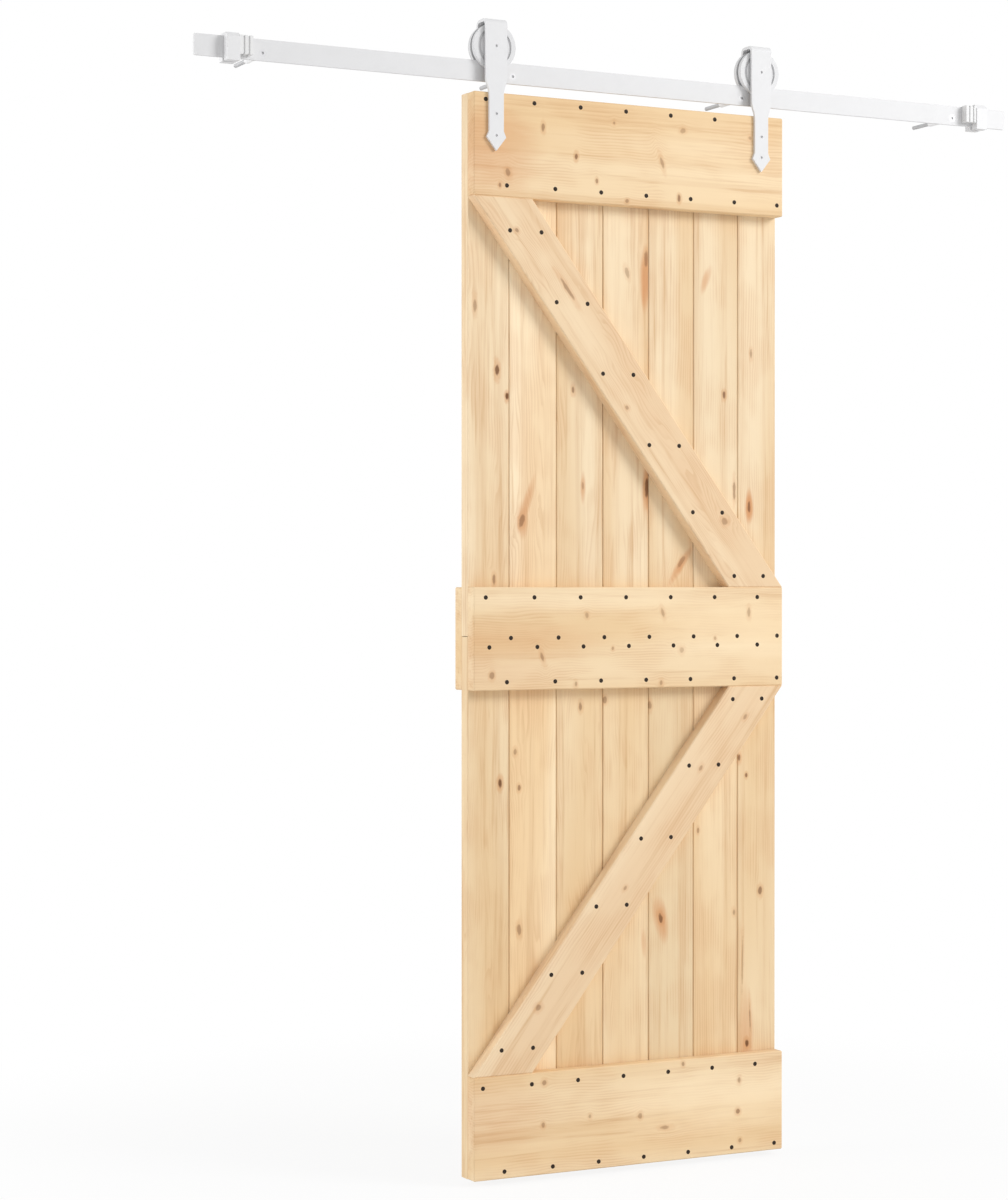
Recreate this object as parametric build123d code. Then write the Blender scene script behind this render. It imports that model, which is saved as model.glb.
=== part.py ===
"""Barn door: a ledged and braced timber door that hangs on two grooved wheels from a flat steel track.

Millimetres. The origin is on the wall plane, at the middle of the row of wall screws.
+X runs to the right along the track, +Y into the wall and +Z up. The door's face looks along -Y.
"""

import os

from build123d import *

os.makedirs("parts", exist_ok=True)

# Timber door
door_width = 700.0
door_height = 2100.0
timber_thick = 28.0
timber_bevel = 2.0
ledge_height = 200.0
middle_ledge_up = 945.5
seam_in_ledge = 104.5
seam_gap = 1.0
brace_end = 127.0
wall_clear = 8.0

# Boards with tongue and groove
board_count = 7
edge_board_wide = 90.0
board_gap = 1.0
board_bevel = 1.5
tongue_long = 7.0
tongue_thick = 8.0
groove_clear = 0.3

# Small fasteners and their holes have few sides, so that what repeats stays light
fastener_sides = 12

# Black wood screws: their heads, as the shanks are hidden in solid timber
screw_sides = 6
screw_head_r = 4.2
screw_head_deep = 5.0
screw_pitch_short = 2.0
pair_spread = 68.5

# Each row of screws: share of the ledge's height, first screw from the left edge,
# shift of the row's middle screw from the door's middle, last screw from the right edge
top_rows = [(0.928, 25.5, -15.0, 60.3), (0.111, 71.2, 30.9, 13.8)]
middle_rows = [
    (0.9, 25.5, -14.9, 60.3),
    (0.507, 79.9, 38.1, 13.1),
    (0.418, 33.2, -8.5, 60.4),
    (0.08, 71.2, 30.8, 13.8),
]
bottom_rows = [(0.892, 19.4, -20.5, 65.3), (0.07, 65.8, 25.6, 19.6)]

# Screw pairs down each brace, as shares of its height, and how far the pairs have drifted
# off the brace's middle line at its foot
upper_pairs = [0.085, 0.263, 0.443, 0.626, 0.801, 0.97]
lower_pairs = [0.035, 0.211, 0.401, 0.575, 0.747, 0.934]
upper_pair_drift = 0.0
lower_pair_drift = -8.0

# Track
track_long = 1830.0
track_high = 40.0
track_thick = 6.0
track_corner = 2.0
track_lift = 21.5

# Wall screws and spacers
fixing_count = 4
fixing_pitch = 520.0
fixing_up = 14.5
wall_screw_r = 4.0
wall_screw_shank_r = 3.6
wall_screw_head_r = 8.0
wall_screw_head_deep = 4.2
wall_screw_grip = 60.0
spacer_r = 6.5
spacer_bore_r = 4.3

# Wheels
wheel_r = 45.0
wheel_thick = 26.0
tread_r = 27.0
tread_side_clear = 0.8
face_ring_r = 36.0
face_hub_r = 30.0
face_groove_deep = 3.0
roll_gap = 0.3
wheel_side_clear = 2.0

# Bearings, each outer ring being one with its wheel
bearing_inner_r = 9.0
bearing_gap = 0.4
fit_gap = 0.02

# Hangers
hanger_inset_left = 46.0
hanger_inset_right = 54.0
hanger_thick = 6.0
hanger_bend_r = 9.0
hanger_top_clear = 2.0
hanger_foot_r = 22.0
plate_wide = 46.0
strap_wide = 31.0
arrow_wide = 41.0
arrow_tip_drop = 113.0
arrow_barb_up = 26.0
arrow_neck_up = 12.0
taper_low_drop = 7.0
taper_high_lift = 31.0

# Hanger bolts, axles and nuts
bolt_r = 4.0
bolt_head_r = 7.8
bolt_head_deep = 4.2
bolt_hole_r = 4.3
bolt_tail = 3.0
bolt_drops = [42.0, 84.0]
nut_flats = 13.0
nut_thick = 6.5
axle_r = 5.0
axle_head_r = 9.6
axle_head_deep = 4.8
axle_hole_r = 5.2
axle_tail = 2.0
axle_nut_flats = 17.0
axle_nut_thick = 8.0
socket_flats = 5.0
socket_deep = 2.6

# End stops
stop_inset = 58.0
stop_long = 26.0
stop_high = 52.0
stop_deep = 42.0
stop_below = 6.5
stop_corner = 8.0
stop_slot_clear = 0.3
stop_screw_r = 4.0
stop_screw_recess = 0.5
stop_screw_up = 20.0
stop_screw_flats = 4.0
buffer_long = 26.0
buffer_high = 35.0
buffer_thick = 16.0
buffer_up = 6.5
buffer_rib = 6.0
buffer_ribs = 3
buffer_groove_deep = 2.0
tenon_wide = 7.0
tenon_high = 14.0
tenon_long = 8.0

# Depths, from the wall outwards
door_back = -wall_clear
boards_back = door_back - timber_thick
boards_front = boards_back - timber_thick
ledge_front = boards_front - timber_thick
hanger_front = ledge_front - hanger_thick
wheel_mid = ledge_front + wheel_side_clear + wheel_thick / 2
wheel_front = wheel_mid - wheel_thick / 2
track_front = wheel_mid - track_thick / 2
track_back = track_front + track_thick
rear_leg_front = wheel_mid + wheel_thick / 2 + wheel_side_clear
rear_leg_back = rear_leg_front + hanger_thick

# Heights, from the row of wall screws
track_low = -fixing_up
track_top = track_low + track_high
door_top = track_low - track_lift
door_low = door_top - door_height
seam = door_low + middle_ledge_up + seam_in_ledge
axle_up = track_top + roll_gap + tread_r
hanger_top = axle_up + wheel_r + hanger_top_clear + hanger_thick

# Places along the door and the track
door_left = -door_width / 2
door_right = door_width / 2
board_cover = (door_width - 2 * edge_board_wide) / (board_count - 2)
screw_pitch = board_cover - screw_pitch_short
stop_inner = track_long / 2 - stop_inset - stop_long
hanger_places = {"left": door_left + hanger_inset_left, "right": door_right - hanger_inset_right}
fixing_places = [(i - (fixing_count - 1) / 2) * fixing_pitch for i in range(fixing_count)]
buffer_places = [
    track_front - stop_slot_clear - buffer_thick / 2,
    track_back + stop_slot_clear + buffer_thick / 2,
]
stop_screw_place = Pos(stop_inner + stop_long / 2, track_back, track_low + stop_screw_up)

# A drawing plane that faces into the wall, for what is driven or pushed in from the front
inward = Plane(origin=(0, 0, 0), x_dir=(1, 0, 0), z_dir=(0, 1, 0))


def save(name, *solids):
    """Writes one node, as one solid or as a group of separate solids."""
    node = solids[0] if len(solids) == 1 else Compound(children=list(solids))
    export_step(node, f"parts/{name}.step")


def block(x, y, z):
    """A box between two limits on each axis."""
    centre = Pos((x[0] + x[1]) / 2, (y[0] + y[1]) / 2, (z[0] + z[1]) / 2)
    return centre * Box(x[1] - x[0], y[1] - y[0], z[1] - z[0])


def front_shape(face, y_front, y_back):
    """Extrudes a face drawn in front view, from one depth to another."""
    return extrude(Plane.XZ.offset(-y_back) * face, amount=y_back - y_front)


def turned(*profile):
    """Turns a closed profile of (radius, depth) points about an axis that runs along +Y."""
    face = make_face(Polyline(*profile, close=True))
    return Rot(-90, 0, 0) * revolve(Plane.XZ * face, axis=Axis.Z)


def shaft(r, length, sides=fastener_sides):
    """A many-sided shaft or bore along +Y from the origin."""
    return front_shape(RegularPolygon(r, sides), 0, length)


def cone(r, depth, sides=fastener_sides):
    """A many-sided cone along +Y, its base at the origin."""
    return loft([inward * RegularPolygon(r, sides), Vertex(0, depth, 0)])


def countersunk(shank_r, head_r, head_deep, length):
    """A countersunk bolt or its hole along +Y, its head's face at the origin."""
    return cone(head_r, head_deep * head_r / (head_r - shank_r)) + shaft(shank_r, length)


def hex_socket(flats, deep):
    """The hexagon recess of a key, cut from the origin along +Y."""
    return front_shape(RegularPolygon(flats / 2, 6, major_radius=False), 0, deep)


def nut(flats, bore_r, thick):
    """A hexagon nut along +Y from the origin."""
    face = RegularPolygon(flats / 2, 6, major_radius=False) - RegularPolygon(bore_r, fastener_sides)
    return front_shape(face, 0, thick)


# Wood screws
def row_places(rows, ledge_low):
    """The screws of a ledge: in each row five at one pitch, with a closer one at each end."""
    places = []
    for share, first, shift, last in rows:
        middle = [shift + (i - 2) * screw_pitch for i in range(board_count - 2)]
        for x in [door_left + first, *middle, door_right - last]:
            places.append((x, ledge_low + share * ledge_height))
    return places


def pair_places(shares, z_top, z_low, x_top, x_low, drift):
    """The screw pairs of a brace, side by side about its middle line."""
    places = []
    for share in shares:
        x = x_top + (x_low - x_top) * share + drift * share
        z = z_top + (z_low - z_top) * share
        places += [(x + side * pair_spread / 2, z) for side in (-1, 1)]
    return places


def place_screws(places):
    """The head of a screw driven in flush from the front at each place."""
    head = cone(screw_head_r, screw_head_deep, screw_sides)
    return [Pos(x, ledge_front, z) * head for x, z in places]


def bored(timber, tools):
    """Cuts from a timber the seats of the screws and bolts that reach it."""
    box = timber.bounding_box()
    near = []
    for tool in tools:
        other = tool.bounding_box()
        across = other.min.X < box.max.X and other.max.X > box.min.X
        deep = other.min.Y < box.max.Y and other.max.Y > box.min.Y
        upright = other.min.Z < box.max.Z and other.max.Z > box.min.Z
        if across and deep and upright:
            near.append(tool)
    return timber - near if near else timber


# Ledges and braces
def ledge(z_low, y_front):
    """A board across the whole door, all its edges lightly bevelled."""
    timber = block(
        (door_left, door_right), (y_front, y_front + timber_thick), (z_low, z_low + ledge_height)
    )
    return chamfer(timber.edges(), timber_bevel)


def brace(z_top, z_low, x_top, x_low):
    """A diagonal board cut level at both ends to fit between two ledges."""
    outline = Polyline(
        (x_top, z_top), (x_top + brace_end, z_top), (x_low + brace_end, z_low), (x_low, z_low), close=True
    )
    timber = front_shape(make_face(outline), ledge_front, boards_front)
    return chamfer(timber.faces().sort_by(Axis.Y)[0].edges(), timber_bevel)


# Boards
def board(left, right, z_low, z_high):
    """A board with a groove in its left edge and a tongue on its right one, plain at the door's edges."""
    first = left == door_left
    last = right == door_right
    x_low = left if first else left + board_gap / 2
    x_high = right if last else right - board_gap / 2
    middle = (boards_front + boards_back) / 2
    face = Pos((x_low + x_high) / 2, middle) * Rectangle(x_high - x_low, timber_thick)
    face = chamfer(face.vertices(), board_bevel)
    if not first:
        deep = tongue_long + groove_clear + board_gap / 2
        groove = Rectangle(deep, tongue_thick + 2 * groove_clear, align=(Align.MIN, Align.CENTER))
        face -= Pos(x_low - board_gap / 2, middle) * groove
    if not last:
        tongue = Rectangle(tongue_long + board_gap / 2, tongue_thick, align=(Align.MIN, Align.CENTER))
        face += Pos(x_high, middle) * tongue
    return extrude(Pos(0, 0, z_low) * face, amount=z_high - z_low)


def board_edges():
    """The joints between the boards: a narrower board at each side and equal ones between them."""
    first = door_left + edge_board_wide
    return [door_left, *[first + i * board_cover for i in range(board_count - 1)], door_right]


# Wheels and bearings
def wheel():
    """A grooved wheel along +Y about the origin, with a ring groove in its front face."""
    half = wheel_thick / 2
    slot = track_thick / 2 + tread_side_clear
    floor = half - face_groove_deep
    bore_r = bearing_inner_r + bearing_gap
    return turned(
        (bore_r, -half),
        (face_hub_r, -half),
        (face_hub_r, -floor),
        (face_ring_r, -floor),
        (face_ring_r, -half),
        (wheel_r, -half),
        (wheel_r, -slot),
        (tread_r, -slot),
        (tread_r, slot),
        (wheel_r, slot),
        (wheel_r, half),
        (bore_r, half),
    )


def bearing_inner():
    """The bearing's inner ring, drawn out on both sides to meet the hanger's legs."""
    reach = wheel_thick / 2 + wheel_side_clear
    solid = turned((0, 0), (bearing_inner_r, 0), (bearing_inner_r, 2 * reach), (0, 2 * reach))
    return Pos(0, -reach, 0) * (solid - shaft(axle_r + fit_gap, 2 * reach))


# Hangers
def hanger_outline():
    """The hanger in front view: a wide plate that narrows to a strap with an arrow-shaped foot."""
    tip = door_top - arrow_tip_drop
    barb = tip + arrow_barb_up
    neck = barb + arrow_neck_up
    low = door_top - taper_low_drop
    high = door_top + taper_high_lift
    half_strap = strap_wide / 2
    half_plate = plate_wide / 2
    middle = (low + high) / 2
    foot = Polyline((0, tip), (arrow_wide / 2, barb), (half_strap, neck), (half_strap, low))
    taper = Bezier((half_strap, low), (half_strap, middle), (half_plate, middle), (half_plate, high))
    side = Polyline((half_plate, high), (half_plate, hanger_top), (0, hanger_top))
    half = make_face([foot, taper, side, Line((0, hanger_top), (0, tip))])
    return half + mirror(half, about=Plane.YZ)


def hanger_bend():
    """The flat bar in side view: up the front, back over the wheel and down behind it."""
    front = hanger_front + hanger_thick / 2
    back = rear_leg_back - hanger_thick / 2
    top = hanger_top - hanger_thick / 2
    tip = door_top - arrow_tip_drop
    route = FilletPolyline(
        (front, tip), (front, top), (back, top), (back, axle_up - plate_wide / 2), radius=hanger_bend_r
    )
    bar = trace(route, line_width=hanger_thick)
    return extrude(Plane.YZ * bar, amount=plate_wide / 2, both=True)


def hanger():
    """One flat bar, cut to outline, bent over the wheel and drilled for its axle and its bolts."""
    bar = hanger_bend() & front_shape(hanger_outline(), hanger_front, rear_leg_back)
    rear_edges = bar.edges().filter_by(Axis.Y).filter_by_position(Axis.Y, rear_leg_front, rear_leg_back)
    bar = fillet(rear_edges.group_by(Axis.Z)[0], hanger_foot_r)
    axle = Pos(0, hanger_front, axle_up) * countersunk(
        axle_hole_r, axle_head_r, axle_head_deep, rear_leg_back - hanger_front
    )
    bolt = countersunk(bolt_hole_r, bolt_head_r, bolt_head_deep, hanger_thick)
    bolts = [Pos(0, hanger_front, door_top - drop) * bolt for drop in bolt_drops]
    return bar - [axle, *bolts]


def axle_bolt():
    """The wheel's axle: a countersunk bolt along +Y with a key socket in its head."""
    length = rear_leg_back + axle_nut_thick + axle_tail - hanger_front
    return countersunk(axle_r, axle_head_r, axle_head_deep, length) - hex_socket(socket_flats, socket_deep)


def door_bolt():
    """A countersunk bolt along +Y through the hanger, the top ledge and a board."""
    length = boards_back + nut_thick + bolt_tail - hanger_front
    return countersunk(bolt_r, bolt_head_r, bolt_head_deep, length) - hex_socket(socket_flats, socket_deep)


# Track and stops
def track_bar():
    """The flat bar that the wheels run on, with countersunk holes for the wall screws."""
    bar = block(
        (-track_long / 2, track_long / 2), (track_front, track_back), (track_low, track_top)
    )
    bar = chamfer(bar.edges().filter_by(Axis.Y), track_corner)
    hole = countersunk(spacer_bore_r, wall_screw_head_r, wall_screw_head_deep, track_thick)
    return bar - [Pos(x, track_front, 0) * hole for x in fixing_places]


def spacer():
    """A tube along +Y that holds the track off the wall."""
    return shaft(spacer_r, -track_back) - shaft(spacer_bore_r, -track_back)


def wall_screw():
    """A countersunk wall screw along +Y with a key socket, as wide as its thread from the wall on."""
    thread = Cylinder(wall_screw_r, wall_screw_grip, align=(Align.CENTER, Align.CENTER, Align.MIN))
    screw = countersunk(wall_screw_shank_r, wall_screw_head_r, wall_screw_head_deep, -track_front)
    screw += Pos(0, -track_front, 0) * Rot(-90, 0, 0) * thread
    return screw - hex_socket(socket_flats, socket_deep)


def stop_block():
    """The right-hand stop: a saddle over the track, with seats for its buffers and its screw."""
    front = wheel_mid - stop_deep / 2
    back = wheel_mid + stop_deep / 2
    low = track_low - stop_below
    saddle = block((stop_inner, stop_inner + stop_long), (front, back), (low, low + stop_high))
    saddle = chamfer(saddle.edges().filter_by(Axis.X).group_by(Axis.Z)[-1], stop_corner)
    slot = block(
        (stop_inner, stop_inner + stop_long),
        (track_front - stop_slot_clear, track_back + stop_slot_clear),
        (low, track_top + stop_slot_clear),
    )
    tapped = stop_screw_place * shaft(stop_screw_r, back - track_back)
    return saddle - [slot, *[tenon(y) for y in buffer_places], tapped]


def tenon(y):
    """The square stub on a buffer's back, pushed into the stop."""
    middle = track_low + buffer_up + buffer_high / 2
    return block(
        (stop_inner, stop_inner + tenon_long),
        (y - tenon_wide / 2, y + tenon_wide / 2),
        (middle - tenon_high / 2, middle + tenon_high / 2),
    )


def buffer(y):
    """A rubber buffer of the right-hand stop: three ribs on a thinner core, and a stub into the stop."""
    low = track_low + buffer_up
    half = buffer_thick / 2
    nose = stop_inner - buffer_long
    core = block(
        (nose, stop_inner),
        (y - half + buffer_groove_deep, y + half - buffer_groove_deep),
        (low + buffer_groove_deep, low + buffer_high - buffer_groove_deep),
    )
    pitch = (buffer_long - buffer_rib) / (buffer_ribs - 1)
    for i in range(buffer_ribs):
        start = nose + i * pitch
        core += block((start, start + buffer_rib), (y - half, y + half), (low, low + buffer_high))
    return core + tenon(y)


def stop_screw():
    """The stop's grub screw along +Y, that bears on the track's back, its key socket to the rear."""
    length = wheel_mid + stop_deep / 2 - stop_screw_recess - track_back
    socket = Pos(0, length - socket_deep, 0) * hex_socket(stop_screw_flats, socket_deep)
    return shaft(stop_screw_r, length) - socket


# Build the timber door
middle_low = door_low + middle_ledge_up
middle_high = middle_low + ledge_height
top_low = door_top - ledge_height
bottom_high = door_low + ledge_height
brace_far = door_right - brace_end
upper_line = (top_low, middle_high, door_left + brace_end / 2, brace_far + brace_end / 2)
lower_line = (middle_low, bottom_high, brace_far + brace_end / 2, door_left + brace_end / 2)
screws = {
    "top_ledge_screws": place_screws(row_places(top_rows, top_low)),
    "middle_ledge_screws": place_screws(row_places(middle_rows, middle_low)),
    "bottom_ledge_screws": place_screws(row_places(bottom_rows, door_low)),
    "upper_brace_screws": place_screws(pair_places(upper_pairs, *upper_line, upper_pair_drift)),
    "lower_brace_screws": place_screws(pair_places(lower_pairs, *lower_line, lower_pair_drift)),
}
bolt_places = [(x, door_top - drop) for x in hanger_places.values() for drop in bolt_drops]
bolt_bore = shaft(bolt_hole_r, boards_back - ledge_front)
bores = [Pos(x, ledge_front, z) * bolt_bore for x, z in bolt_places]
tools = [head for group in screws.values() for head in group] + bores

timbers = {
    "top_ledge": ledge(top_low, ledge_front),
    "middle_ledge": ledge(middle_low, ledge_front),
    "bottom_ledge": ledge(door_low, ledge_front),
    "back_ledge": ledge(middle_low, boards_back),
    "upper_brace": brace(top_low, middle_high, door_left, brace_far),
    "lower_brace": brace(middle_low, bottom_high, brace_far, door_left),
}
edges = board_edges()
for i in range(board_count):
    timbers[f"board_lower_{i + 1}"] = board(edges[i], edges[i + 1], door_low, seam - seam_gap / 2)
    timbers[f"board_upper_{i + 1}"] = board(edges[i], edges[i + 1], seam + seam_gap / 2, door_top)
for name, timber in timbers.items():
    save(name, bored(timber, tools))
for name, group in screws.items():
    save(name, *group)

# Build the hangers and the wheels
hanger_shape = hanger()
wheel_shape = wheel()
for side, x in hanger_places.items():
    save(f"hanger_{side}", Pos(x, 0, 0) * hanger_shape)
    save(f"wheel_{side}", Pos(x, wheel_mid, axle_up) * wheel_shape)
axle_places = list(hanger_places.values())
inner_ring = bearing_inner()
bolt = axle_bolt()
bolt_nut = nut(axle_nut_flats, axle_r + fit_gap, axle_nut_thick)
save("bearing_inners", *[Pos(x, wheel_mid, axle_up) * inner_ring for x in axle_places])
save("axle_bolts", *[Pos(x, hanger_front, axle_up) * bolt for x in axle_places])
save("axle_nuts", *[Pos(x, rear_leg_back, axle_up) * bolt_nut for x in axle_places])
bolt = door_bolt()
bolt_nut = nut(nut_flats, bolt_r + fit_gap, nut_thick)
save("hanger_bolts", *[Pos(x, hanger_front, z) * bolt for x, z in bolt_places])
save("hanger_nuts", *[Pos(x, boards_back, z) * bolt_nut for x, z in bolt_places])

# Build the track
tube = spacer()
screw = wall_screw()
save("track", track_bar())
save("track_spacers", *[Pos(x, track_back, 0) * tube for x in fixing_places])
save("wall_screws", *[Pos(x, track_front, 0) * screw for x in fixing_places])

# Build the stops, the left one as the mirror image of the right one
right_stop = {"stop": stop_block(), "stop_screw": stop_screw_place * stop_screw()}
for name, y in zip(("front", "rear"), buffer_places):
    right_stop[f"buffer_{name}"] = buffer(y)
for name, shape in right_stop.items():
    save(f"{name}_right", shape)
    save(f"{name}_left", mirror(shape, about=Plane.YZ))
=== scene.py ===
"""The looks of the barn door: a pine leaf on two grooved wheels, hung from a flat steel track."""

import math

import bpy
import numpy as np
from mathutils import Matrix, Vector


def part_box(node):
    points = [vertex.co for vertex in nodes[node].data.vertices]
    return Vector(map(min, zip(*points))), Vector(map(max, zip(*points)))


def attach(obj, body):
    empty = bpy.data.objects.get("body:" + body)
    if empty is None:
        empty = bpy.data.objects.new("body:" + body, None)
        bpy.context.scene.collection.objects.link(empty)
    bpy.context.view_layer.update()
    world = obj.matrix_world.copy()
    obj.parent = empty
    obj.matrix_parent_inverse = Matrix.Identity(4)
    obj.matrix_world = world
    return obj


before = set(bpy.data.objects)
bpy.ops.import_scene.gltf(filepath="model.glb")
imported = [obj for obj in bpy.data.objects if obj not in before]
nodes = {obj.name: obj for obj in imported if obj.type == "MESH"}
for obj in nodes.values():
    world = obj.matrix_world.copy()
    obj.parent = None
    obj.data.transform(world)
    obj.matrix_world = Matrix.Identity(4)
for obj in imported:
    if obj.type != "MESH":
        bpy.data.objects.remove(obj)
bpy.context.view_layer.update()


# The boards: fourteen planed pine boards with tongues and grooves, seven above and seven below
# the seam behind the middle ledge. They are unfinished sapwood with the grain upright, and the
# screws through the ledges and braces hold them together, with no glue.
class Wire:
    """One output of a shader node. Where it is a number, arithmetic on it adds Math nodes."""

    def __init__(self, recipe, socket):
        self.recipe = recipe
        self.socket = socket

    def joined(self, operation, *others):
        """The result of a Math node on this number and any others."""
        return self.recipe.node("ShaderNodeMath", {"operation": operation}, [self, *others])

    def __add__(self, other):
        return self.joined("ADD", other)

    def __sub__(self, other):
        return self.joined("SUBTRACT", other)

    def __rsub__(self, other):
        return self.recipe.node("ShaderNodeMath", {"operation": "SUBTRACT"}, [other, self])

    def __mul__(self, other):
        return self.joined("MULTIPLY", other)

    def __truediv__(self, other):
        return self.joined("DIVIDE", other)

    __radd__ = __add__
    __rmul__ = __mul__


class Recipe:
    """The node tree of a material or of the world, filled node by node."""

    def __init__(self, owner):
        owner.use_nodes = True
        self.owner = owner
        self.tree = owner.node_tree

    def node(self, kind, settings, sockets, out=0):
        """Adds a node, its settings first and then its sockets, by number or name. Gives the
        output that out names, or several where out is a tuple."""
        made = self.tree.nodes.new(kind)
        for name, value in settings.items():
            setattr(made, name, value)
        pairs = sockets.items() if isinstance(sockets, dict) else enumerate(sockets)
        for key, value in pairs:
            self.feed(made.inputs[key], value)
        if isinstance(out, tuple):
            return [Wire(self, made.outputs[key]) for key in out]
        return Wire(self, made.outputs[out])

    def feed(self, socket, value):
        """Links a wire to a socket, or sets the socket to a plain value."""
        if isinstance(value, Wire):
            self.tree.links.new(value.socket, socket)
        else:
            socket.default_value = value

    def place(self):
        """The point of the surface, in metres from the object's origin."""
        return self.node("ShaderNodeTexCoord", {}, {}, "Object")

    def smooth(self, value, low, high):
        """Rises from 0 at low to 1 at high, or falls if low is the greater, with soft ends."""
        settings = {"interpolation_type": "SMOOTHSTEP"}
        return self.node("ShaderNodeMapRange", settings, [value, low, high, 0.0, 1.0])

    def blend(self, share, first, second):
        """Mixes two colours by a share. A Mix node has its colours at sockets 6 and 7 and the
        mixed one at output 2."""
        sockets = {"Factor": share, 6: first, 7: second}
        return self.node("ShaderNodeMix", {"data_type": "RGBA"}, sockets, 2)

    def noise(self, at, stretch, shift=0.0, detail=2.0, rough=0.5):
        """Soft noise about one half. Stretch says how many clouds fit in a metre on each axis,
        and shift moves to another part of the noise."""
        settings = {"operation": "MULTIPLY_ADD"}
        spread = self.node("ShaderNodeVectorMath", settings, [at, stretch, (shift, shift, shift)])
        sockets = {"Vector": spread, "Scale": 1.0, "Detail": detail, "Roughness": rough}
        return self.node("ShaderNodeTexNoise", {}, sockets)

    def surface(self, **looks):
        """Sets the shader's own sockets, whose names are written with low lines for spaces."""
        shader = self.tree.nodes["Principled BSDF"]
        for name, value in looks.items():
            self.feed(shader.inputs[name.replace("_", " ")], value)
        return self.owner


def tone(red, green, blue):
    """A colour given as it looks on a screen, from 0 to 255, as light."""
    parts = np.array([red, green, blue]) / 255.0
    light = np.where(parts <= 0.04045, parts / 12.92, ((parts + 0.055) / 1.055) ** 2.4)
    return (*light.tolist(), 1.0)


leaf_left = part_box("top_ledge")[0].x
leaf_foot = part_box("bottom_ledge")[0].z
late_wood = tone(198, 153, 104)
knot_core = tone(120, 82, 52)
# A red tone for resin stains and for the painted shade at the left ends of the ledges.
knot_rim = tone(204, 142, 88)
resin_and_shade_red = tone(206, 142, 92)
# A pale tone for the patches of painted light on the ledges.
painted_light_pale = tone(253, 233, 198)
ring_gap = 0.0056
pith_off_wall = 0.045


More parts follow.
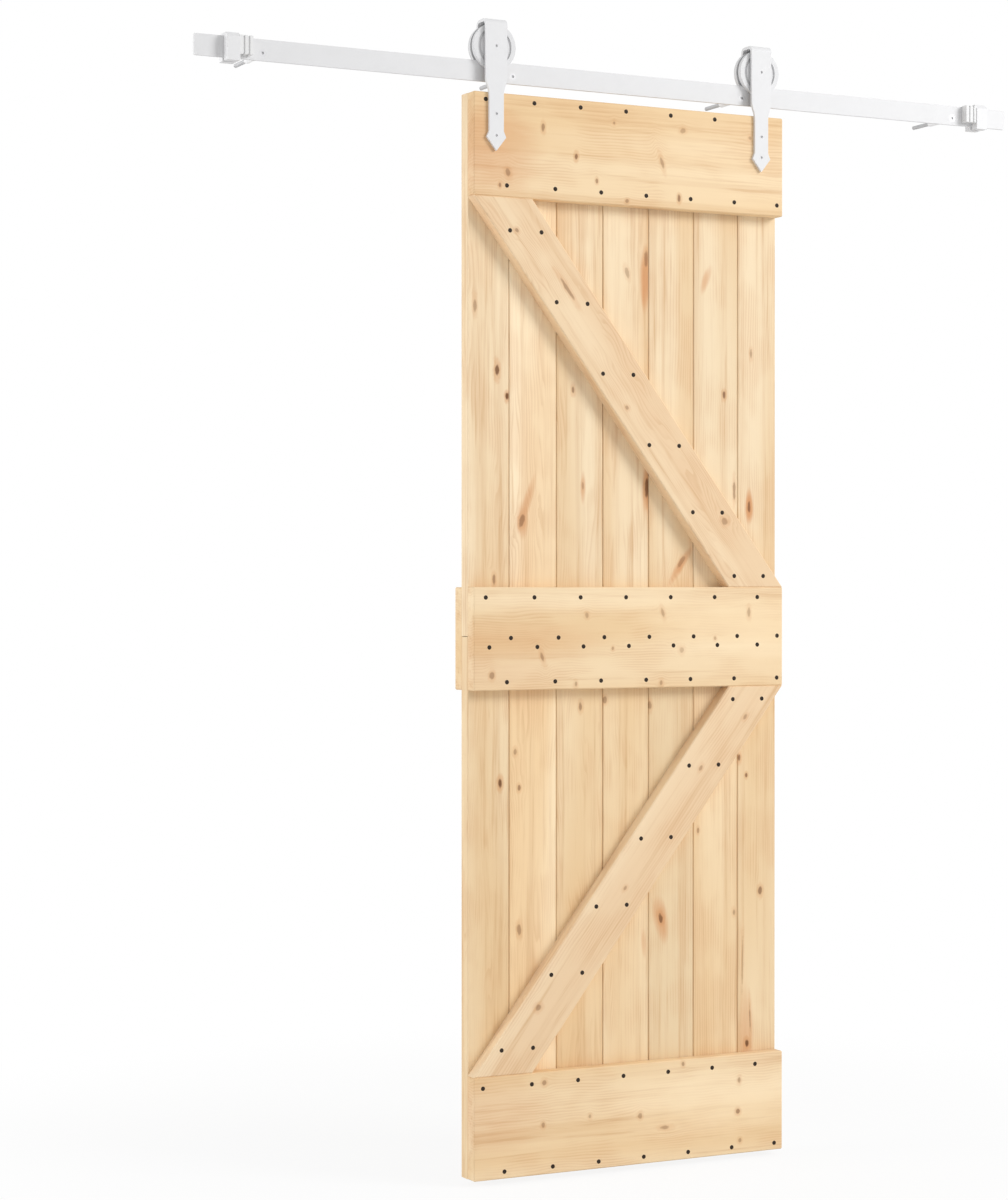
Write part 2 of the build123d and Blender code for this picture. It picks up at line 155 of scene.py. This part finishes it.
def pine(name, turn, seed, marks, pale, warm, waver=0.1):
    """Pine seen as a solid. The grain runs at an angle, turn, from level. Growth rings are shells
    at even distances from a pith line behind the face, pushed about by soft noise and round each
    knot. Broad and narrow bands of noise, drawn out along the grain, change the colour from pale
    to warm and on to late wood. A mark is an oval: place from the leaf's left edge, height above
    its foot, half length and half width in millimetres, strength, lean in radians, and kind. The
    kinds are a knot; a soft red stain, which is resin on the boards and painted shade at the left
    ends of the ledges; and a soft pale patch, which is painted light."""
    wood = Recipe(bpy.data.materials.new(name))
    place = wood.place()
    settings = {"rotation_type": "Y_AXIS"}
    grain = wood.node("ShaderNodeVectorRotate", settings, {"Vector": place, "Angle": turn})
    along, deep, across = wood.node("ShaderNodeSeparateXYZ", {}, [grain], (0, 1, 2))

    # Noise, most of it drawn out along the grain, from wide bands to single fibres
    drift = wood.noise(grain, (22 * waver, 22.0, 22.0), seed, 2.0, 0.45)
    broad = wood.noise(grain, (0.8, 10.0, 10.0), seed + 4.0, 1.0)
    band = wood.noise(grain, (0.9, 46.0, 46.0), seed + 8.0, 2.0, 0.6)
    cloud = wood.noise(grain, (7.0, 16.0, 16.0), seed + 3.0, 2.0, 0.55)
    streak = wood.noise(grain, (5.0, 150.0, 150.0), seed + 6.0, 3.0, 0.6)
    fibre = wood.noise(grain, (9.0, 460.0, 460.0), seed, 2.0, 0.6)
    wobble = wood.noise(grain, (55.0, 55.0, 55.0), seed, 2.0, 0.6) - 0.5
    flow = wood.noise(grain, (9.0, 70.0, 70.0), seed, 3.0, 0.6) - 0.5

    # The marks, of which only the knots push the rings aside
    bent = across
    cores = []
    rims = []
    patches = {"resin_and_shade": [], "painted_light": []}
    for left, height, long, wide, strength, lean, kind in marks:
        x = leaf_left + left / 1000
        z = leaf_foot + height / 1000
        off_along = along - (x * math.cos(turn) + z * math.sin(turn))
        off_across = across - (z * math.cos(turn) - x * math.sin(turn))
        lay = off_along * math.cos(lean) + off_across * math.sin(lean)
        stand = off_across * math.cos(lean) - off_along * math.sin(lean)
        u = lay * (1000 / long)
        v = stand * (1000 / wide)
        far = u * u + v * v
        if kind != "knot":
            patches[kind].append(wood.smooth(far + flow * 3.0, 3.4, -0.6) * strength)
            continue
        far = far * (1.0 + wobble * 1.6) + wobble * 0.9
        pull = (far * -0.14).joined("EXPONENT")
        bent = bent - off_across * pull * 0.8
        cores.append(wood.smooth(far, 1.15, 0.25) * min(1.3 * strength, 1.0))
        rims.append(wood.smooth(far, 5.0, 0.5) * (0.65 * strength))

    # The rings, and then the colour from the broadest change to the finest, with the marks on top
    side = bent + drift * 0.05 + 0.03 * math.cos(seed * 5.0)
    depth = deep + (pith_off_wall + 0.02 * math.sin(seed * 7.0))
    radius = (side * side + depth * depth).joined("SQRT")
    ring = (radius / ring_gap + drift * 5.0).joined("FRACT")
    late = wood.smooth(ring, 0.3, 0.88) * wood.smooth(ring, 1.0, 0.9)
    late = late * wood.smooth(cloud, 0.38, 0.62)
    colour = wood.blend(wood.smooth(broad, 0.36, 0.64), pale, warm)
    colour = wood.blend(wood.smooth(band, 0.45, 0.74) * 0.26, colour, late_wood)
    colour = wood.blend(wood.smooth(cloud, 0.42, 0.7) * 0.12, colour, resin_and_shade_red)
    colour = wood.blend(late * (0.1 + 0.3 * drift), colour, late_wood)
    lines = wood.smooth(streak, 0.5, 0.72) * (0.08 + 0.34 * wood.smooth(band, 0.42, 0.62))
    colour = wood.blend(lines, colour, late_wood)
    colour = wood.blend(wood.smooth(fibre, 0.62, 0.8) * 0.12, colour, late_wood)
    for group, shade in (
        (patches["painted_light"], painted_light_pale),
        (patches["resin_and_shade"], resin_and_shade_red),
        (rims, knot_rim),
        (cores, knot_core),
    ):
        if group:
            mask = group[0]
            for other in group[1:]:
                mask = mask.joined("MAXIMUM", other)
            colour = wood.blend(mask, colour, shade)

    relief = fibre * 0.6 - late * 0.4
    sockets = {"Strength": 0.12, "Distance": 0.0004, "Height": relief}
    return wood.surface(
        Base_Color=colour,
        Roughness=0.58 + 0.14 * fibre,
        Normal=wood.node("ShaderNodeBump", {}, sockets),
        Specular_IOR_Level=0.2,
    )


def dress(name, material):
    """Gives a CAD node its one material."""
    mesh = nodes[name].data
    mesh.materials.clear()
    mesh.materials.append(material)


def knots(*places):
    """Marks that are knots and don't lean."""
    return [(*place, 0.0, "knot") for place in places]


upright = math.pi / 2
upper_marks = [
    [
        *knots((64, 1567, 13, 5, 0.7), (85, 1517, 7, 4, 0.8)),
        *knots((57, 1159, 12, 4, 0.45), (16, 1691, 14, 4, 0.35)),
    ],
    [
        (131, 1315, 36, 6, 0.6, -0.3, "resin_and_shade"),
        (118, 1275, 14, 6, 0.45, -0.3, "knot"),
        (118, 1275, 24, 9, 0.6, 0.0, "resin_and_shade"),
    ],
    [
        *knots((231, 1534, 8, 4, 0.5), (253, 1345, 9, 3, 0.3)),
        (253, 1341, 20, 4, 0.5, 0.0, "resin_and_shade"),
    ],
    [
        (353, 1770, 11, 5, 0.3, 0.3, "knot"),
        *knots((396, 1800, 16, 5, 0.4), (398, 1345, 24, 5, 0.7)),
        (393, 1760, 42, 7, 0.9, 0.0, "resin_and_shade"),
        (398, 1335, 30, 8, 0.7, 0.0, "resin_and_shade"),
    ],
    [
        (477, 1196, 16, 5, 0.35, -0.6, "knot"),
        (477, 1190, 30, 6, 0.7, -0.6, "resin_and_shade"),
    ],
    [
        (535, 1766, 20, 6, 0.55, -0.35, "resin_and_shade"),
        *knots((578, 1535, 8, 4, 0.6), (602, 1343, 22, 3, 0.4)),
    ],
    [
        *knots((637, 1310, 14, 4, 0.6), (642, 1620, 9, 3, 0.35)),
        (637, 1310, 22, 7, 0.8, 0.0, "resin_and_shade"),
    ],
]
lower_marks = [
    knots((70, 765, 10, 5, 0.75)),
    knots((112, 754, 7, 4, 0.5), (103, 824, 7, 4, 0.35), (112, 478, 12, 5, 0.4)),
    knots((247, 909, 9, 4, 0.45)),
    [*knots((303, 922, 7, 4, 0.4)), (392, 433, 20, 5, 0.4, 0.1, "resin_and_shade")],
    [
        *knots((405, 910, 9, 4, 0.4)),
        (430, 482, 10, 5, 0.65, 0.2, "knot"),
        (430, 480, 30, 11, 0.75, 0.2, "resin_and_shade"),
    ],
    knots((517, 655, 6, 3, 0.4), (602, 485, 7, 4, 0.35)),
    [
        *knots((664, 527, 9, 5, 0.55), (614, 798, 8, 4, 0.6), (631, 763, 5, 3, 0.6)),
        (640, 265, 34, 2, 0.4, 0.03, "knot"),
        (622, 380, 60, 2, 0.3, -0.02, "knot"),
        *knots((632, 216, 9, 5, 0.75)),
        (630, 240, 60, 12, 0.5, 0.0, "resin_and_shade"),
    ],
]
upper_tints = [1, 9, -1, 0, -2, -4, -3]
lower_tints = [-3, 8, -1, -1, -10, 0, -4]
rows = (
    ("upper", 0.0, (241, 220, 186), (232, 204, 164), upper_marks, upper_tints),
    ("lower", 13.0, (240, 216, 178), (231, 200, 156), lower_marks, lower_tints),
)
for row, first_seed, pale, warm, row_marks, tints in rows:
    for i, (marks, lift) in enumerate(zip(row_marks, tints)):
        number = i + 1
        shades = [tone(*(part + lift for part in shade)) for shade in (pale, warm)]
        seed = first_seed + 1.7 * i
        board_pine = pine(f"pine_{row}_board_{number}", upright, seed, marks, *shades)
        dress(f"board_{row}_{number}", board_pine)


# The ledges: three planed pine boards laid level across the face and one more across the back at
# the seam. They are cut from knottier timber than the boards, and their edges are eased.
# Black countersunk screws hold those on the face to every board.
level = 0.0
# Each ledge is painted paler towards its right end, and the middle ledge along its top edge, as
# painted light; the broad red stains at their left ends are painted shade.
ledge_marks = {
    "top_ledge": [
        *knots((150, 2041, 4, 9, 0.45), (223, 1988, 4, 7, 0.6), (308, 2061, 3, 4, 0.35)),
        *knots((465, 2057, 7, 5, 0.3), (56, 1922, 3, 5, 0.45), (269, 1944, 3, 5, 0.45)),
        *knots((337, 1909, 4, 4, 0.4), (456, 1921, 4, 7, 0.55), (622, 2055, 4, 4, 0.3)),
        (417, 1990, 4, 15, 0.35, 0.3, "knot"),
        (73, 1948, 6, 9, 0.4, 0.2, "knot"),
        # Painted shade: darker and redder towards the left end.
        (40, 1990, 70, 60, 0.45, 0.0, "resin_and_shade"),
        (75, 1955, 22, 24, 0.4, 0.0, "resin_and_shade"),
        # Painted light: paler towards the right end.
        (620, 2000, 170, 70, 0.1, 0.0, "painted_light"),
    ],
    "middle_ledge": [
        *knots((247, 1091, 4, 6, 0.3), (620, 1095, 4, 10, 0.3), (305, 1025, 3, 4, 0.35)),
        *knots((463, 1020, 6, 6, 0.25), (39, 974, 5, 7, 0.4), (223, 956, 4, 6, 0.35)),
        *knots((415, 955, 4, 6, 0.35), (540, 1043, 3, 4, 0.3)),
        (419, 1094, 4, 12, 0.3, 0.3, "knot"),
        (148, 1009, 4, 12, 0.4, 0.3, "knot"),
        # Painted shade: darker and redder towards the left end.
        (90, 1035, 130, 32, 0.22, 0.0, "resin_and_shade"),
        (70, 980, 90, 26, 0.18, 0.0, "resin_and_shade"),
        # Painted light: paler towards the right end and along the top edge.
        (610, 1070, 170, 50, 0.45, 0.0, "painted_light"),
        (300, 1120, 260, 16, 0.4, 0.0, "painted_light"),
    ],
    "bottom_ledge": [
        *knots((152, 179, 5, 6, 0.4), (466, 191, 4, 5, 0.4), (254, 105, 4, 5, 0.3)),
        *knots((367, 96, 5, 6, 0.35), (424, 68, 12, 5, 0.35), (150, 97, 4, 5, 0.35)),
        *knots((594, 86, 5, 6, 0.5), (597, 149, 4, 7, 0.35), (599, 27, 4, 5, 0.35)),
        # Painted shade: darker and redder towards the left end.
        (45, 120, 80, 50, 0.22, 0.0, "resin_and_shade"),
        # Painted light: paler towards the right end.
        (560, 110, 170, 50, 0.5, 0.0, "painted_light"),
    ],
    "back_ledge": knots((180, 1060, 6, 8, 0.5), (430, 1010, 8, 10, 0.4), (600, 1100, 4, 7, 0.5)),
}
ledge_pale = tone(238, 213, 175)
ledge_warm = tone(231, 200, 156)
for i, (name, marks) in enumerate(ledge_marks.items()):
    seed = 31.0 + 2.3 * i
    dress(name, pine(f"pine_{name}", level, seed, marks, ledge_pale, ledge_warm, waver=0.3))


# The braces: two planed pine boards set slantwise between the ledges, one in each half, which
# keep the leaf square. They are cut level at both ends to butt against the ledges, and are held
# to the boards by pairs of the same screws.
leaf_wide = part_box("top_ledge")[1].x - leaf_left
brace_end = 0.127
brace_marks = {
    "upper_brace": [
        *knots((93, 1837, 5, 4, 0.4), (337, 1500, 5, 4, 0.35)),
        *knots((563, 1277, 8, 7, 0.35), (205, 1727, 30, 4, 0.4)),
    ],
    "lower_brace": [
        *knots((611, 883, 7, 4, 0.35), (507, 783, 7, 4, 0.35)),
        *knots((333, 550, 6, 4, 0.35), (139, 326, 8, 6, 0.4)),
    ],
}
brace_pale = tone(239, 215, 180)
brace_warm = tone(232, 203, 166)
for i, (name, marks) in enumerate(brace_marks.items()):
    low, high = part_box(name)
    run = leaf_wide - brace_end
    turn = math.atan2(high.z - low.z, -run if name == "upper_brace" else run)
    seed = 47.0 + 3.1 * i
    dress(name, pine(f"pine_{name}", turn, seed, marks, brace_pale, brace_warm, waver=0.2))


# The timber screws: eighty black phosphated wood screws with countersunk heads and cross
# recesses, driven nearly flush. Each flat CAD head gets a low round cap with its recess.
def skin(name, grids, body):
    """Makes one mesh from grids of points: copies, rows and columns, each row closed on itself.
    Each cell of a grid is one face of four sides, or of three beside a row drawn in to a point."""
    copies, rows, columns = grids.shape[:3]
    number = np.arange(copies * rows * columns).reshape(copies, rows, columns)
    for row in (0, rows - 1):
        if np.ptp(grids[0, row], axis=0).max() < 1e-9:
            number[:, row] = number[:, row, :1]
    after = np.roll(number, -1, axis=2)
    cells = np.stack([number[:, :-1], after[:, :-1], after[:, 1:], number[:, 1:]], axis=-1)
    faces = [list(dict.fromkeys(cell)) for cell in cells.reshape(-1, 4).tolist()]
    mesh = bpy.data.meshes.new(name)
    mesh.from_pydata(grids.reshape(-1, 3).tolist(), [], faces)
    mesh.polygons.foreach_set("use_smooth", np.ones(len(mesh.polygons), bool))
    mesh.update()
    made = bpy.data.objects.new(name, mesh)
    bpy.context.scene.collection.objects.link(made)
    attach(made, body)
    return made


def screw_places(name):
    """Where each screw of a CAD node stands, read from the deepest point of its cone."""
    mesh = nodes[name].data
    points = np.empty(len(mesh.vertices) * 3)
    mesh.vertices.foreach_get("co", points)
    points = points.reshape(-1, 3)
    tips = points[points[:, 1] > points[:, 1].max() - 1e-4]
    return np.unique(tips.round(4), axis=0)


cap_r = 0.0044
cap_height = 0.0009
recess_long = 0.0026
recess_wide = 0.0007
recess_deep = 0.0006


def caps(places, face):
    """Low domes, one for each place. The height over the face falls with the square of the
    distance from the middle, and two crossed arms sink into it with soft walls."""
    share = np.array([1.0, 0.92, 0.8, 0.6, 0.42, 0.24, 0.1, 0.0])[:, None]
    angle = np.linspace(0.0, 2 * np.pi, 24, endpoint=False)[None, :]
    x = cap_r * share * np.cos(angle)
    z = cap_r * share * np.sin(angle)
    narrow = np.minimum(abs(x), abs(z))
    far = np.maximum(abs(x), abs(z))
    walls = np.clip((recess_wide - narrow) / recess_wide * 2, 0, 1)
    ends = np.clip((recess_long - far) / recess_long * 4, 0, 1)
    rise = cap_height * (1 - share**2) - recess_deep * (walls * ends)
    dome = np.stack([x, -rise, z], axis=-1)
    middles = np.column_stack([places[:, 0], np.full(len(places), face), places[:, 2]])
    return middles[:, None, None, :] + dome[None]


black = Recipe(bpy.data.materials.new("black_phosphate"))
speck = black.noise(black.place(), (900.0, 900.0, 900.0))
black_screw = black.surface(
    Base_Color=black.blend(speck, tone(34, 25, 17), tone(50, 38, 27)),
    Roughness=0.5 + 0.2 * speck,
    Specular_IOR_Level=0.25,
)
ledge_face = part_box("top_ledge")[0].y
for timber in ("top_ledge", "middle_ledge", "bottom_ledge", "upper_brace", "lower_brace"):
    name = f"{timber}_screws"
    dress(name, black_screw)
    heads = skin(f"{name}_caps", caps(screw_places(name), ledge_face), "door")
    heads.data.materials.append(black_screw)


# The track and its fixings: a flat steel bar, held off the wall by steel tubes, each round one of
# the countersunk wall screws. The bar has a pale satin coat; tubes and screws are zinc plated.
def coat(name, pale, dark, rough):
    """A thin even coat on steel: one grey, clouded a little by soft noise, with faint ripples."""
    paint = Recipe(bpy.data.materials.new(name))
    place = paint.place()
    cloud = paint.noise(place, (26.0, 26.0, 26.0), 0.0, 3.0, 0.55)
    peel = paint.noise(place, (700.0, 700.0, 700.0), 0.0, 1.0)
    sockets = {"Strength": 0.05, "Distance": 0.0002, "Height": peel}
    return paint.surface(
        Base_Color=paint.blend(cloud, dark, pale),
        Roughness=rough + 0.08 * cloud,
        Normal=paint.node("ShaderNodeBump", {}, sockets),
        Specular_IOR_Level=0.35,
    )


thread_pitch = 2.5


def zinc(name, pale, dark, metal=0.6, thread=False):
    """Bright zinc plate: its grey clouded by soft noise. Where asked, a thread is drawn on what
    stands in the wall, as ridges along +Y at an even pitch in millimetres, with painted shade
    darkening its grooves."""
    plate = Recipe(bpy.data.materials.new(name))
    place = plate.place()
    cloud = plate.noise(place, (160.0, 160.0, 160.0), 0.0, 3.0, 0.55)
    colour = plate.blend(cloud, dark, pale)
    looks = {"Roughness": 0.3 + 0.14 * cloud, "Metallic": metal}
    if thread:
        inward = plate.node("ShaderNodeSeparateXYZ", {}, [place], (1,))[0]
        half_pitch = thread_pitch / 2
        ridge = (inward * 1000).joined("PINGPONG", half_pitch) / half_pitch
        ridge = ridge * plate.smooth(inward, 0.0, 0.001)
        # Painted shade: the grooves of the thread are darkened towards grey.
        colour = plate.blend(ridge * 0.5, colour, tone(120, 122, 125))
        sockets = {"Strength": 0.8, "Distance": 0.001, "Height": 1.0 - ridge}
        looks["Normal"] = plate.node("ShaderNodeBump", {}, sockets)
    return plate.surface(Base_Color=colour, **looks)


zinc_plate = zinc("zinc_plate", tone(228, 229, 230), tone(214, 215, 217))
spacer_zinc = zinc("spacer_zinc", tone(240, 240, 241), tone(232, 232, 233), metal=0.15)
screw_zinc = zinc("threaded_zinc", tone(217, 217, 218), tone(208, 208, 210), metal=0.1, thread=True)
dress("track", coat("track_coat", tone(224, 224, 225), tone(217, 217, 218), 0.5))
dress("track_spacers", spacer_zinc)
dress("wall_screws", screw_zinc)


# The end stops: a steel block like a saddle over each end of the track, fixed by a grub screw
# from behind. A ribbed buffer of pale rubber stands on its inner side, before and behind the bar.
stop_coat = coat("stop_coat", tone(229, 229, 230), tone(222, 222, 223), 0.5)
rubber = Recipe(bpy.data.materials.new("buffer_rubber"))
grit = rubber.noise(rubber.place(), (500.0, 500.0, 500.0))
buffer_rubber = rubber.surface(
    Base_Color=rubber.blend(grit, tone(222, 222, 222), tone(234, 234, 234)),
    Roughness=0.62 + 0.15 * grit,
    Specular_IOR_Level=0.3,
)
for side in ("left", "right"):
    dress(f"stop_{side}", stop_coat)
    dress(f"stop_screw_{side}", zinc_plate)
    dress(f"buffer_front_{side}", buffer_rubber)
    dress(f"buffer_rear_{side}", buffer_rubber)


# The wheels: turned steel with a deep groove that straddles the track and a ring cut in the front.
# A sealed bearing is pressed into each and turns on the axle bolt.
wheel_coat = coat("wheel_coat", tone(220, 220, 221), tone(211, 211, 212), 0.45)
for side in ("left", "right"):
    dress(f"wheel_{side}", wheel_coat)
dress("bearing_inners", zinc("bearing_steel", tone(206, 208, 210), tone(190, 192, 195)))
dress("axle_bolts", coat("bolt_coat", tone(224, 224, 225), tone(218, 218, 219), 0.45))
dress("axle_nuts", zinc_plate)


# The hangers: flat steel bars bent over the wheels and cut to an arrow at the foot, in the
# track's pale coat. Two countersunk bolts hold each to the leaf, with nuts at the back.
hanger_coat = coat("hanger_coat", tone(225, 225, 226), tone(219, 219, 220), 0.52)
for side in ("left", "right"):
    dress(f"hanger_{side}", hanger_coat)
dress("hanger_bolts", hanger_coat)
dress("hanger_nuts", zinc_plate)


# The room: a pale floor a little below the leaf, a wide soft lamp high on the right, another
# straight to the left and an even pale sky. The camera stands to the left and looks level.
floor_gap = 0.012
floor_z = leaf_foot - floor_gap
reach = 14.0
corners = [(x * reach, y * reach, floor_z) for x, y in ((-1, -1), (1, -1), (1, 1), (-1, 1))]
floor_mesh = bpy.data.meshes.new("floor")
floor_mesh.from_pydata(corners, [], [(0, 1, 2, 3)])
floor = bpy.data.objects.new("floor", floor_mesh)
bpy.context.scene.collection.objects.link(floor)


def seen_rays(recipe):
    """One for the rays that should meet the white room: those straight from the camera, and those
    off metal or through glass."""
    names = ("Is Camera Ray", "Is Glossy Ray", "Is Transmission Ray")
    camera_ray, glossy, through = recipe.node("ShaderNodeLightPath", {}, {}, names)
    return camera_ray.joined("MAXIMUM", glossy).joined("MAXIMUM", through)


white = (1.0, 1.0, 1.0, 1.0)
ground = Recipe(bpy.data.materials.new("floor_white"))
ground.surface(Base_Color=(0.8, 0.8, 0.8, 1.0), Roughness=0.9)
glow = ground.node("ShaderNodeEmission", {}, {"Color": white, "Strength": 1.0})
# The shadow shows near the leaf and fades to white between these distances from the origin
fade_from = 2.2
fade_to = 2.8
distance = ground.node("ShaderNodeVectorMath", {"operation": "LENGTH"}, [ground.place()], 1)
bright = 0.88 + 0.12 * ground.smooth(distance, fade_from, fade_to)
plain = Wire(ground, ground.tree.nodes["Principled BSDF"].outputs[0])
mixed = ground.node("ShaderNodeMixShader", {}, [seen_rays(ground) * bright, plain, glow])
ground.feed(ground.tree.nodes["Material Output"].inputs["Surface"], mixed)
floor_mesh.materials.append(ground.owner)

sky = bpy.data.worlds.new("sky")
bpy.context.scene.world = sky
air = Recipe(sky)
day = air.node("ShaderNodeBackground", {}, {"Color": white, "Strength": 0.57})
backdrop = air.node("ShaderNodeBackground", {}, {"Color": white, "Strength": 1.0})
mixed = air.node("ShaderNodeMixShader", {}, [seen_rays(air), day, backdrop])
air.feed(air.tree.nodes["World Output"].inputs["Surface"], mixed)


def lamp(name, power, size, place, aim):
    """A square soft lamp at a place, turned to face its aim."""
    light = bpy.data.lights.new(name, "AREA")
    light.energy = power
    light.size = size
    made = bpy.data.objects.new(name, light)
    made.location = place
    made.rotation_euler = (Vector(aim) - Vector(place)).to_track_quat("-Z", "Y").to_euler()
    bpy.context.scene.collection.objects.link(made)


middle = (0.0, -0.08, leaf_foot + 1.2)
lamp("key_lamp", power=368.0, size=3.0, place=(4.76, -4.99, 2.52), aim=middle)
lamp("left_lamp", power=152.0, size=2.4, place=(-6.0, 0.45, 0.3), aim=middle)

camera_data = bpy.data.cameras.new("camera")
camera_data.lens = 81.84
camera = bpy.data.objects.new("camera", camera_data)
camera.location = (-2.65381, -4.80583, -0.99375)
heading = math.radians(26.678)
tilt = math.radians(-0.2356)
camera.rotation_euler = (math.pi / 2 + tilt, 0.0, -heading)
bpy.context.scene.collection.objects.link(camera)
bpy.context.scene.camera = camera
bpy.context.scene.view_settings.view_transform = "Standard"
